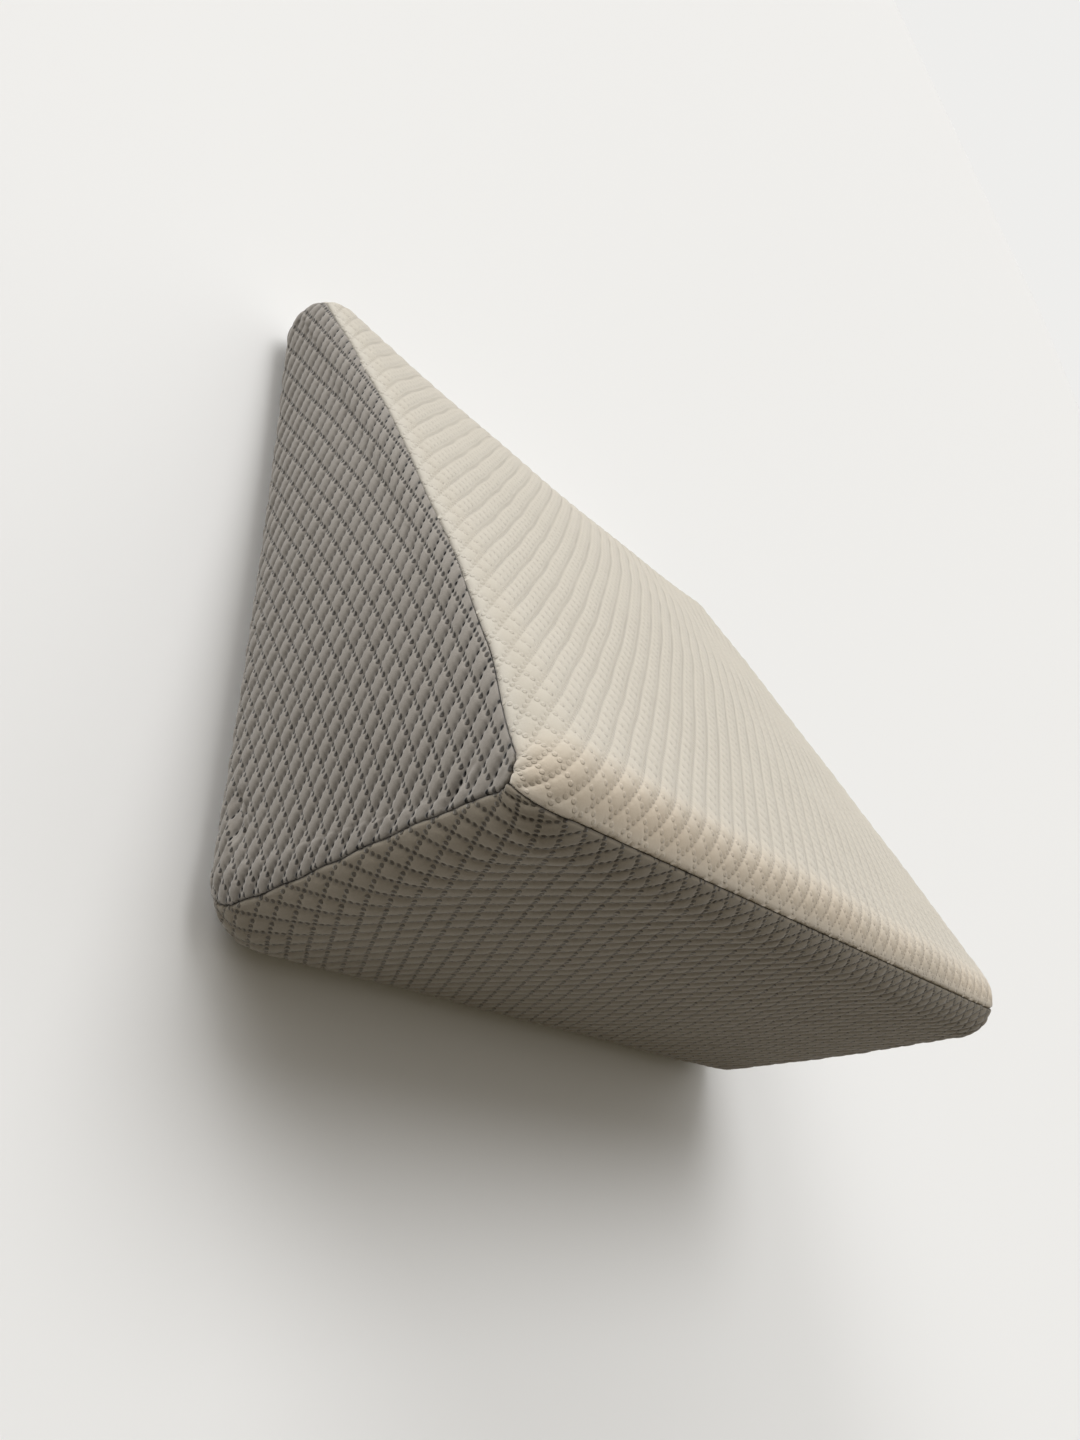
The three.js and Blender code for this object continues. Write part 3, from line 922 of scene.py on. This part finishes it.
@dataclass
class FilledBody:
    """The filled wedge.

    Its base stands out as far as the panels' cloth, and the rest lies under them.
    """

    form: WedgeForm
    name: str = "filled_wedge"
    slot: Slot = Slot.GREY
    quilting: Quilting = Quilting()
    step: float = 2.9 * MM
    clearance: float = 0.25 * MM
    under: float = 9 * MM
    roll: float = 4.0 * MM
    roll_depth: float = 1.5 * MM
    flatten: float = 9 * MM
    rim_relief: float = 0.45
    measures: int = 4001
    coarse_rows: int = 60
    end_steps: int = 9

    def rows(self) -> tuple[Array, Array]:
        """Places round the profile: fine rows over the base, and coarse ones over the rest.

        Returns:
            The places, and whether each lies on the base.
        """
        form = self.form
        fine = np.linspace(form.seam_top_base, form.seam_base_back + 6, self.measures)
        length = form.lengths(fine)
        count = int(length[-1] / self.step)
        spread = np.linspace(self.clearance, length[-1] - self.clearance, count)
        base = np.interp(spread, length, fine)
        rest = np.linspace(form.seam_base_back, form.seam_top_base, self.coarse_rows) + 6
        place = np.concatenate([base, rest])
        return place, np.concatenate([np.ones(len(base), bool), np.zeros(len(rest), bool)])

    def build(self) -> bpy.types.Object:
        """Builds the closed body on one grid of rows round the profile and columns across.

        Returns:
            The body's object.
        """
        form = self.form
        place, is_base = self.rows()
        _, straight, quarter = form.rounding(place)
        shares = np.linspace(0, 1, int(form.width / 2 / self.step))[1:]
        fan = np.linspace(0, 1, 4)
        halves = []
        for side in (-1, 1):
            seam = form.end_seam(place, side)
            reach = straight + (seam - self.clearance / quarter - 1) * quarter
            across = form.across_at(reach[:, None] * shares, place[:, None])
            round_it = seam[:, None] * (1 - fan) + 2 * fan
            flat = np.ones_like(seam)[:, None] * np.linspace(2, 3, self.end_steps)[1:-1]
            halves.append((side * across, side * np.concatenate([round_it, flat], axis=1)))
        (left, far), (right, near) = halves
        middle = np.zeros((len(place), 1))
        base_columns = np.concatenate([left[:, ::-1], middle, right], axis=1)
        across = np.concatenate([far[:, ::-1], base_columns, near], axis=1)
        column_base = np.zeros(across.shape[1], bool)
        column_base[far.shape[1]:far.shape[1] + base_columns.shape[1]] = True
        raised = is_base[:, None] & column_base[None, :]
        places = np.broadcast_to(place[:, None], across.shape)
        inset, u, v, margin = self.cloth(places, across, raised)
        points = form.point(places, across, inset)
        return self.close(points, u, v, margin)

    def cloth(self, place: Array, across: Array, raised: Array) -> tuple[Array, ...]:
        """The inset, the cloth coordinates and the distance to the seams of the grid.

        The base has the quilting's relief, below the surface that it rests on, and
        rolls down at its seams. The rest lies under the other panels.

        Args:
            place, across: the grid's places round the profile and across.
            raised: whether each of its points is on the base.

        Returns:
            The inset, the two ways on the cloth and the distance to the seams.
        """
        form = self.form
        length = form.lengths(place[:, 0])
        v = np.broadcast_to(length[:, None], place.shape)
        straight = form.rounding(place)[1]
        reach = np.abs(across)
        u = np.where(reach < 1, reach * straight, form.cloth_to(place, reach))
        u = np.sign(across) * u
        end = form.cloth_to(place, form.end_seam_beside(place, across))
        last = length[raised.any(1)].max()
        margin = np.minimum(np.minimum(v, last - v), end - np.abs(u))
        full = self.rim_relief + (1 - self.rim_relief) * smooth(margin / self.flatten)
        tallest = self.quilting.puff * (1 + self.quilting.uneven)
        relief = full * (self.quilting.relief(u, v) - tallest)
        rolled = self.roll_depth * np.clip(1 - margin / self.roll, 0, 1) ** 2
        inset = np.where(raised, np.maximum(rolled - relief, 0), self.under)
        return inset, u, v, margin

    def close(
        self, points: Array, u: Array, v: Array, margin: Array,
    ) -> bpy.types.Object:
        """Joins the grid into a closed mesh: rows wrap round, and a pole closes each end.

        Args:
            points: the grid's points in space.
            u, v: their ways on the cloth.
            margin: their distance to the seams.

        Returns:
            The body's object, with its faces outwards.
        """
        rows, columns = points.shape[:2]
        count = np.arange(rows * columns).reshape(rows, columns)
        here, there = count, np.roll(count, -1, axis=0)
        a, b = here[:, :-1].ravel(), here[:, 1:].ravel()
        c, d = there[:, :-1].ravel(), there[:, 1:].ravel()
        faces = [np.stack([a, c, b], -1), np.stack([b, c, d], -1)]
        form = self.form
        poles = [form.point(np.zeros(1), np.full(1, side * 3.0), self.under) for side in (-1, 1)]
        low, high = rows * columns, rows * columns + 1
        first, last = here[:, 0], here[:, -1]
        faces.append(np.stack([first, np.full(rows, low), there[:, 0]], -1))
        faces.append(np.stack([last, there[:, -1], np.full(rows, high)], -1))
        all_points = np.concatenate([points.reshape(-1, 3), *poles])
        cells = np.stack(self.quilting.cells(u.ravel(), v.ravel()), -1)
        cells = np.concatenate([cells, np.zeros((2, 2))])
        margins = np.concatenate([margin.ravel(), np.zeros(2)])
        triangles = np.concatenate(faces)
        one, two, three = (all_points[triangles[:, i]] for i in range(3))
        volume = (one * np.cross(two, three)).sum() / 6
        if volume < 0:
            triangles = triangles[:, ::-1]
        return build_mesh(self.name, all_points, triangles, cells, margins)


class Value:
    """A shader value, on which arithmetic in Python adds Math nodes."""

    def __init__(self, shader: Shader, socket: bpy.types.NodeSocket) -> None:
        """Wraps a node's output socket."""
        self.shader = shader
        self.socket = socket

    def math(self, operation: str, *others: Value | float) -> Value:
        """A Math node of this value and up to two more."""
        sockets = dict(enumerate((self, *others)))
        return self.shader.node("ShaderNodeMath", {"operation": operation}, sockets)

    def __add__(self, other: Value | float) -> Value:
        """The sum."""
        return self.math("ADD", other)

    def __mul__(self, other: Value | float) -> Value:
        """The product."""
        return self.math("MULTIPLY", other)

    def __sub__(self, other: Value | float) -> Value:
        """The difference."""
        return self.math("SUBTRACT", other)

    def __rsub__(self, other: float) -> Value:
        """A number less this value, as this value times -1 and the number."""
        return self.math("MULTIPLY_ADD", -1.0, other)

    def __truediv__(self, other: Value | float) -> Value:
        """The quotient."""
        return self.math("DIVIDE", other)

    def __pow__(self, power: float) -> Value:
        """This value to a power."""
        return self.math("POWER", power)

    def rounded(self) -> Value:
        """The nearest whole number."""
        return self.math("ROUND")

    def past(self, step: float) -> Value:
        """How far the value lies past the nearest multiple of a step."""
        return self - (self / step).rounded() * step

    def size(self) -> Value:
        """The value without its sign."""
        return self.math("ABSOLUTE")

    def most(self, other: Value | float) -> Value:
        """The greater of two values."""
        return self.math("MAXIMUM", other)

    def ease(self, low: float, high: float, first: float, last: float) -> Value:
        """Eases smoothly from one number to another as this value grows.

        Args:
            low, high: the values of this one between which it eases.
            first, last: the results at low and at high.

        Returns:
            The eased value.
        """
        settings = {"interpolation_type": "SMOOTHSTEP"}
        sockets = {"Value": self, "From Min": low, "From Max": high}
        sockets.update({"To Min": first, "To Max": last})
        return self.shader.node("ShaderNodeMapRange", settings, sockets)

    def fade(self, start: float, stop: float) -> Value:
        """Eased from 1 at start to 0 at stop."""
        return self.ease(start, stop, 1.0, 0.0)


class Shader:
    """The node tree of a material or of the world, ending in one shader."""

    def __init__(self, owner: bpy.types.Material | bpy.types.World, surface: str) -> None:
        """Starts a tree with only its output and one shader.

        Args:
            owner: the material or the world.
            surface: the name of the shader's node.
        """
        owner.use_nodes = True
        self.owner = owner
        self.tree = owner.node_tree
        self.surface = self.tree.nodes[surface]

    def node(self, kind: str, settings: dict, sockets: dict, output: str | int = 0) -> Value:
        """Adds a node.

        Args:
            kind: the node's type.
            settings: its own settings, set before its sockets.
            sockets: values or links by the socket's name or number.
            output: the output's name or number.

        Returns:
            The output, wrapped.
        """
        made = self.tree.nodes.new(kind)
        for key, value in settings.items():
            setattr(made, key, value)
        for key, value in sockets.items():
            self.feed(made.inputs[key], value)
        return Value(self, made.outputs[output])

    def feed(self, socket: bpy.types.NodeSocket, value: Value | float | tuple) -> None:
        """Links a wrapped value to a socket, or sets the socket's own value.

        Args:
            socket: the input socket.
            value: a wrapped value, a number or a colour.
        """
        if isinstance(value, Value):
            self.tree.links.new(value.socket, socket)
        else:
            socket.default_value = value

    def blend(self, factor: Value | float, first: tuple | Value, second: tuple | Value) -> Value:
        """A colour mixed from the first to the second, and past it where the factor is over 1."""
        sockets = {"Factor": factor, 6: first, 7: second}
        return self.node("ShaderNodeMix", {"data_type": "RGBA", "clamp_factor": False}, sockets, 2)

    def noise(
        self, where: Value, scale: float, detail: float = 2.0, roughness: float = 0.5,
    ) -> Value:
        """Noise from 0 to 1 at a scale in turns for each metre."""
        sockets = {"Vector": where, "Scale": scale, "Detail": detail, "Roughness": roughness}
        return self.node("ShaderNodeTexNoise", {}, sockets, "Fac")

    def finish(self, **sockets: Value | float | tuple) -> bpy.types.Material | bpy.types.World:
        """Feeds the sockets of the tree's one shader.

        Args:
            sockets: each socket's value, under its name with _ for a space.

        Returns:
            The material or the world.
        """
        for key, value in sockets.items():
            self.feed(self.surface.inputs[key.replace("_", " ")], value)
        return self.owner


def surface_shader(name: str) -> Shader:
    """A new material's tree, ending in the Principled BSDF."""
    return Shader(bpy.data.materials.new(name), "Principled BSDF")


@dataclass(frozen=True)
class ClothFinish:
    """The quilted knit: its colours with their painted shade and light, the look of its stitches,
    and its fine grain.

    Reaches are pairs of millimetres, from full to none. Those of lines, valleys and
    ridges are in thirds of a cell instead.
    """

    name: str
    colour: Triple
    # Painted shade in the pits: the dark colour they go towards, and how far.
    painted_pit_shade_colour: Triple
    pit_shade: float
    # Painted shade in the first family's valleys.
    line_shade: float
    heather: float
    # A painted highlight on the second family's ridges between the pits.
    ridge_light: float = 0.0
    # Painted shade in the open seams.
    seam_shade: float = 0.0
    # Painted warm light over the tall edge: its colour, its share, and the heights in Y over which
    # it comes in.
    painted_warm_light_colour: Triple = (0.58, 0.50, 0.40)
    painted_warm_light_share: float = 0.0
    # Painted light along the seams: its colour, its share, and its reach.
    painted_rim_light_colour: Triple = (0.62, 0.60, 0.55)
    painted_rim_light_share: float = 0.0
    seam_reach: Pair = (0.2, 1.1)
    painted_warm_light_reach: Pair = (212.0, 244.0)
    painted_rim_light_reach: Pair = (2.0, 12.0)
    pit_reach: Pair = (0.8, 1.6)
    pit_stretch: float = 0.75
    line_reach: Pair = (0.48, 0.64)
    first_line_pits: float = 0.8
    # How far the valleys' painted shade is set aside, towards the flank where shade falls.
    valley_shade_lean: float = 0.2
    valley_reach: Pair = (0.0, 0.75)
    ridge_reach: Pair = (0.1, 0.8)
    grain_scale: float = 900.0
    fibre_scale: float = 2600.0
    cloud_scale: float = 14.0
    cloud: float = 0.10
    noise_detail: float = 2.0
    grain_roughness: float = 0.6
    fibre_share: float = 0.5
    pit_depth: float = 0.9
    grain_height: float = 0.12
    roughness: float = 0.9
    sheen: float = 0.25
    sheen_roughness: float = 0.5
    specular: float = 0.25

    def stitches(self, shader: Shader, quilting: Quilting) -> tuple[Value, Value, Value]:
        """The pits, the first family's valleys and the second family's ridges, each from 0 to 1.

        They are read from the two cell numbers in the UV map: a stitch lies where
        one number is whole and the other is a whole number of thirds, and its pit is
        fainter where only the first is whole. The painted shade of a valley lies a
        little to one side of where the first number is whole, on the flank where shade falls.

        Args:
            shader: the material's tree.
            quilting: the repeat that the cells count.

        Returns:
            The three values.
        """
        cells = shader.node("ShaderNodeUVMap", {"uv_map": "cloth"}, {})
        first = shader.node("ShaderNodeSeparateXYZ", {}, {"Vector": cells}, "X") * 3.0
        second = shader.node("ShaderNodeSeparateXYZ", {}, {"Vector": cells}, "Y") * 3.0
        near_first, near_second = first - first.rounded(), second - second.rounded()
        past_first = first.past(3.0)
        off_first, off_second = past_first.size(), second.past(3.0).size()
        across = (near_first + near_second) * (quilting.short / 6 / MM)
        along = (near_first - near_second) * (quilting.long / 6 / MM)
        distance = (across * across + along * along * self.pit_stretch) ** 0.5
        on_first = off_first.fade(*self.line_reach) * self.first_line_pits
        on_line = on_first.most(off_second.fade(*self.line_reach))
        pits = distance.fade(*self.pit_reach) * on_line
        leaning = (past_first + self.valley_shade_lean).size()
        return pits, leaning.fade(*self.valley_reach), off_second.fade(*self.ridge_reach)

    def make(self, quilting: Quilting) -> bpy.types.Material:
        """Makes the material.

        Args:
            quilting: the repeat in which the cloth is stitched.

        Returns:
            A matt cloth with painted shade in its pits, valleys and seams, a painted
            highlight on its ridges, painted light along its seams, painted warm light
            over the tall edge and a colour that varies a little, with pits and a
            knitted grain as bump.
        """
        shader = surface_shader(self.name)
        pits, lines, ridges = self.stitches(shader, quilting)
        where = shader.node("ShaderNodeTexCoord", {}, {}, "Object")
        grain = shader.noise(where, self.grain_scale, self.noise_detail, self.grain_roughness)
        fibre = shader.noise(where, self.fibre_scale, 1.0)
        cloud = shader.noise(where, self.cloud_scale, self.noise_detail)
        margin = shader.node("ShaderNodeAttribute", {"attribute_name": "margin"}, {}, "Fac") / MM
        # Painted shade in the pits and the valleys, and a painted highlight on the ridges.
        shade = 1.0 - pits * self.pit_shade - lines * self.line_shade + ridges * self.ridge_light
        # Painted shade in the open seams, by the margin attribute.
        shade = shade * (1.0 - margin.fade(*self.seam_reach) * self.seam_shade)
        heather = (grain - 0.5) * self.heather + (cloud - 0.5) * self.cloud + 1.0
        # light is the painted shade and highlight times the cloth's own heather.
        light = shade * heather
        # Painted warm light over the tall edge, mottled by the cloud.
        back = shader.node("ShaderNodeSeparateXYZ", {}, {"Vector": where}, "Y") / MM
        edge = back.ease(*self.painted_warm_light_reach, 0.0, self.painted_warm_light_share) * (cloud + 0.5)
        plain = shader.blend(edge, (*self.colour, 1.0), (*self.painted_warm_light_colour, 1.0))
        # Painted light on the rim along the seams.
        rim = margin.fade(*self.painted_rim_light_reach) * self.painted_rim_light_share
        plain = shader.blend(rim, plain, (*self.painted_rim_light_colour, 1.0))
        # The cloth's colour with its painted light, taken by the painted shade towards the pits'
        # dark colour.
        colour = shader.blend(light, (*self.painted_pit_shade_colour, 1.0), plain)
        height = (grain + fibre * self.fibre_share) * self.grain_height - pits * self.pit_depth
        bump = {"Strength": 1.0, "Distance": MM, "Height": height}
        normal = shader.node("ShaderNodeBump", {}, bump, "Normal")
        return shader.finish(
            Base_Color=colour,
            Roughness=self.roughness,
            Normal=normal,
            Sheen_Weight=self.sheen,
            Sheen_Roughness=self.sheen_roughness,
            Specular_IOR_Level=self.specular,
        )


# The grey has strong painted shade in its pits, valleys and seams, and a painted highlight on its
# ridges.
GREY_FINISH = ClothFinish(
    "grey_quilted_knit",
    colour=(0.248, 0.227, 0.202),
    painted_pit_shade_colour=(0.022, 0.019, 0.016),
    pit_shade=0.98,
    line_shade=0.34,
    heather=0.26,
    ridge_light=0.18,
    seam_shade=0.35,
)
# Painted shade: the grey cloth made darker and warmer for the back, which faces away from the
# lights.
PAINTED_SHADE_BACK_FINISH = replace(
    GREY_FINISH, name="grey_quilted_knit_painted_shade_back", colour=(0.206, 0.178, 0.137), pit_shade=0.62,
    line_shade=0.12, ridge_light=0.0,
)
# The cream has faint painted shade in its pits and valleys, painted warm light over the tall edge
# and painted light along its seams.
CREAM_FINISH = ClothFinish(
    "cream_quilted_knit",
    colour=(0.470, 0.433, 0.368),
    painted_pit_shade_colour=(0.25, 0.21, 0.16),
    pit_shade=0.14,
    line_shade=0.06,
    heather=0.10,
    painted_warm_light_share=1.0,
    painted_rim_light_share=0.25,
    pit_depth=0.45,
)
CREAM_QUILTING = Quilting(
    puff=1.3 * MM, shallow=0.06, bridge=0.6 * MM, pit=0.35 * MM, valley=1.5 * MM, lean=0.2 * MM,
    uneven=0.08,
)
CREAM_DRAPE = Drape(
    (0.10, 0.20),
    (-0.0092, 0.9653, 0.0392, -0.0169, -0.0287, -0.0167, -0.003, -0.0004, 0.0096, -0.0016),
    (-0.0069, 0.0434, 0.9085, 0.0273, 0.0263, 0.0265, 0.0052, 0.0031, -0.0035, 0.0065),
)
# The back's cloth is stretched harder, so its pads are flatter.
BACK_QUILTING = Quilting(puff=1.6 * MM, bridge=0.6 * MM, pit=0.8 * MM, lean=0.4 * MM)
BACK_DRAPE = Drape((0.10, 0.14), (0, 0.97, 0, 0, 0, -0.105), (0, 0, 1.03, 0, 0, -0.10))
END_DRAPE = Drape(
    (0.10, 0.05),
    (-0.006, 0.9554, 0.0191, -0.1627, 0.0435, -0.0447, 0.012, 0.08, -0.0463, -0.0097),
    (-0.0029, -0.0653, 1.118, -0.1858, 0.1598, -0.048, 0.024, 0.0721, -0.0682, 0.0105),
)
# The short fold by the near end's lower back corner, and a pucker where three seams meet.
HEEL_FOLD = (
    Pucker((0.0420, 0.1840), (0.0480, 0.2080), 6.0 * MM, -3.0 * MM),
    Pucker((0.0437, 0.1807), (0.0558, 0.1985), 1.6 * MM, -1.5 * MM),
    Pucker((0.0567, 0.2015), (0.0550, 0.2090), 1.6 * MM, -1.3 * MM),
    Pucker((0.0370, 0.1970), (0.0420, 0.2140), 2.6 * MM, 1.2 * MM),
    Pucker((0.218, 0.243), (0.236, 0.228), 2.4 * MM, -1.2 * MM),
)


@dataclass
class Pillow:
    """The whole pillow: the filled body and the four panels that are sewn round it."""

    form: WedgeForm
    quilting: Quilting = Quilting()

    def panels(self) -> list[tuple[LongPanel | EndPanel, str]]:
        """The four panels.

        Returns:
            Each panel with the CAD node that it stands for.
        """
        form = self.form
        return [
            (LongPanel(form, "cream_top_panel", Slot.CREAM, start=form.seam_back_top,
                       stop=form.seam_top_base, quilting=CREAM_QUILTING, drape=CREAM_DRAPE,
                       slack=0.14), "top_panel"),
            (LongPanel(form, "grey_back_panel", Slot.GREY, start=form.seam_base_back,
                       stop=form.seam_back_top, quilting=BACK_QUILTING, drape=BACK_DRAPE,
                       fineness=1.5, roll=1.8 * MM, roll_depth=1.1 * MM), "back_panel"),
            (EndPanel(form, "grey_near_end_panel", Slot.GREY, end=End.NEAR, drape=END_DRAPE,
                      puckers=HEEL_FOLD, fineness=2, roll=1.6 * MM, roll_depth=0.9 * MM),
             "end_panel_near"),
            (EndPanel(form, "grey_far_end_panel", Slot.GREY, end=End.FAR, drape=END_DRAPE,
                      fineness=1.5, roll=1.6 * MM, roll_depth=0.9 * MM), "end_panel_far"),
        ]

    def build(self) -> None:
        """Builds and dresses every piece, and logs each."""
        grey, cream = GREY_FINISH.make(self.quilting), CREAM_FINISH.make(self.quilting)
        cloths = {Slot.GREY: grey, Slot.CREAM: cream}
        # The back panel takes the grey cloth's painted shade copy.
        shaded = {"back_panel": PAINTED_SHADE_BACK_FINISH.make(self.quilting)}
        body = FilledBody(self.form)
        wedge = body.build()
        self.dress(wedge, body.slot, cloths[body.slot], "filled_body")
        for panel, node in self.panels():
            piece = panel.build()
            self.dress(piece, panel.slot, shaded.get(node, cloths[panel.slot]), node)
            width, length = panel.flat_size()
            panel.flat_area()
            log.info("%s: %.3f x %.3f m of cloth", piece.name, width, length)

    @staticmethod
    def dress(piece: bpy.types.Object, slot: Slot, cloth: bpy.types.Material, node: str) -> None:
        """Gives a piece its cloth and its body, and hides the CAD part that it stands for.

        Args:
            piece: the piece's object.
            slot: the record's cloth; not used.
            cloth: the material.
            node: the CAD node.
        """
        piece.data.materials.append(cloth)
        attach(piece, "root")
        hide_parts(node)
        log.info("%s: %d triangles", piece.name, len(piece.data.polygons))


@dataclass(frozen=True)
class Camera:
    """The photograph's camera, in the pillow's frame."""

    place: Triple = (0.5942, 0.4392, 0.5211)
    right: Triple = (-0.6406, 0.0194, 0.7676)
    down: Triple = (-0.3692, 0.8688, -0.3300)
    focal_pixels: float = 995.1
    image_height: float = 1440
    sensor: float = 36.0

    def build(self) -> bpy.types.Object:
        """Makes the scene's camera, looking along the cross product of right and down.

        Returns:
            The camera's object.
        """
        data = bpy.data.cameras.new("camera")
        data.sensor_width = self.sensor
        data.lens = self.focal_pixels * self.sensor / self.image_height
        camera = bpy.data.objects.new("camera", data)
        right = Vector(self.right).normalized()
        up = -Vector(self.down).normalized()
        back = right.cross(up).normalized()
        up = back.cross(right).normalized()
        turn = Matrix((right, up, back)).transposed()
        camera.matrix_world = Matrix.Translation(Vector(self.place)) @ turn.to_4x4()
        bpy.context.scene.collection.objects.link(camera)
        bpy.context.scene.camera = camera
        return camera


@dataclass(frozen=True)
class Studio:
    """The pale floor, the soft lights and the pale surroundings."""

    floor_size: float = 30.0
    floor_colour: Triple = (0.862, 0.863, 0.864)
    key_from: Triple = (0.50, -0.85, 0.15)
    key_power: float = 2.5
    key_spread: float = 36
    top_from: Triple = (0.0, -0.42, 0.91)
    top_power: float = 1.25
    top_spread: float = 30
    bright_side: Triple = (-0.22, -0.90, 0.28)
    bright_colour: Triple = (0.860, 0.855, 0.840)
    dim_colour: Triple = (0.130, 0.105, 0.060)
    dim_until: float = -0.30
    bright_from: float = 0.73

    def build(self) -> None:
        """Builds the floor, the lights and the world."""
        self.floor()
        self.sun("key_light", self.key_from, self.key_power, self.key_spread)
        self.sun("top_light", self.top_from, self.top_power, self.top_spread)
        self.world()

    def floor(self) -> None:
        """A plain matt plane at the height on which the pillow rests."""
        half = self.floor_size / 2
        corners = [(-half, -half, 0), (half, -half, 0), (half, half, 0), (-half, half, 0)]
        mesh = bpy.data.meshes.new("floor")
        mesh.from_pydata(corners, [], [(0, 1, 2, 3)])
        floor = bpy.data.objects.new("floor", mesh)
        bpy.context.scene.collection.objects.link(floor)
        paint = surface_shader("pale_floor")
        mesh.materials.append(paint.finish(Base_Color=(*self.floor_colour, 1.0), Roughness=0.85))

    @staticmethod
    def sun(name: str, source: Triple, power: float, spread: float) -> None:
        """A soft light from far away, spread over an angle in degrees.

        Args:
            name: the light's name.
            source: the way from the pillow to the light.
            power: its strength.
            spread: the angle that it fills.
        """
        data = bpy.data.lights.new(name, "SUN")
        data.energy = power
        data.angle = math.radians(spread)
        light = bpy.data.objects.new(name, data)
        light.rotation_mode = "QUATERNION"
        light.rotation_quaternion = Vector(source).to_track_quat("Z", "Y")
        bpy.context.scene.collection.objects.link(light)

    def world(self) -> None:
        """Surroundings that light the pillow from the thin edge's side and look pale all round.

        Their light eases from dim to bright with the cosine of the angle from the bright
        side. The camera itself sees them bright everywhere, as a plain backdrop.
        """
        world = bpy.data.worlds.new("surroundings")
        bpy.context.scene.world = world
        shader = Shader(world, "Background")
        where = shader.node("ShaderNodeTexCoord", {}, {}, "Generated")
        side = tuple(Vector(self.bright_side).normalized())
        project = {"operation": "DOT_PRODUCT"}
        facing = shader.node("ShaderNodeVectorMath", project, {0: where, 1: side}, "Value")
        seen = shader.node("ShaderNodeLightPath", {}, {}, "Is Camera Ray")
        bright = facing.ease(self.dim_until, self.bright_from, 0.0, 1.0).most(seen)
        dim, full = (*self.dim_colour, 1.0), (*self.bright_colour, 1.0)
        shader.finish(Color=shader.blend(bright, dim, full))


def main() -> None:
    """Builds the pillow, the studio and the camera in order."""
    width, length, height = (round(high - low, 3) for low, high in zip(CAD_LOW, CAD_HIGH))
    form = WedgeForm(width, length, height)
    Camera().build()
    Pillow(form).build()
    Studio().build()
    bpy.context.scene.view_settings.view_transform = "Standard"


if __name__ == "__main__":
    main()
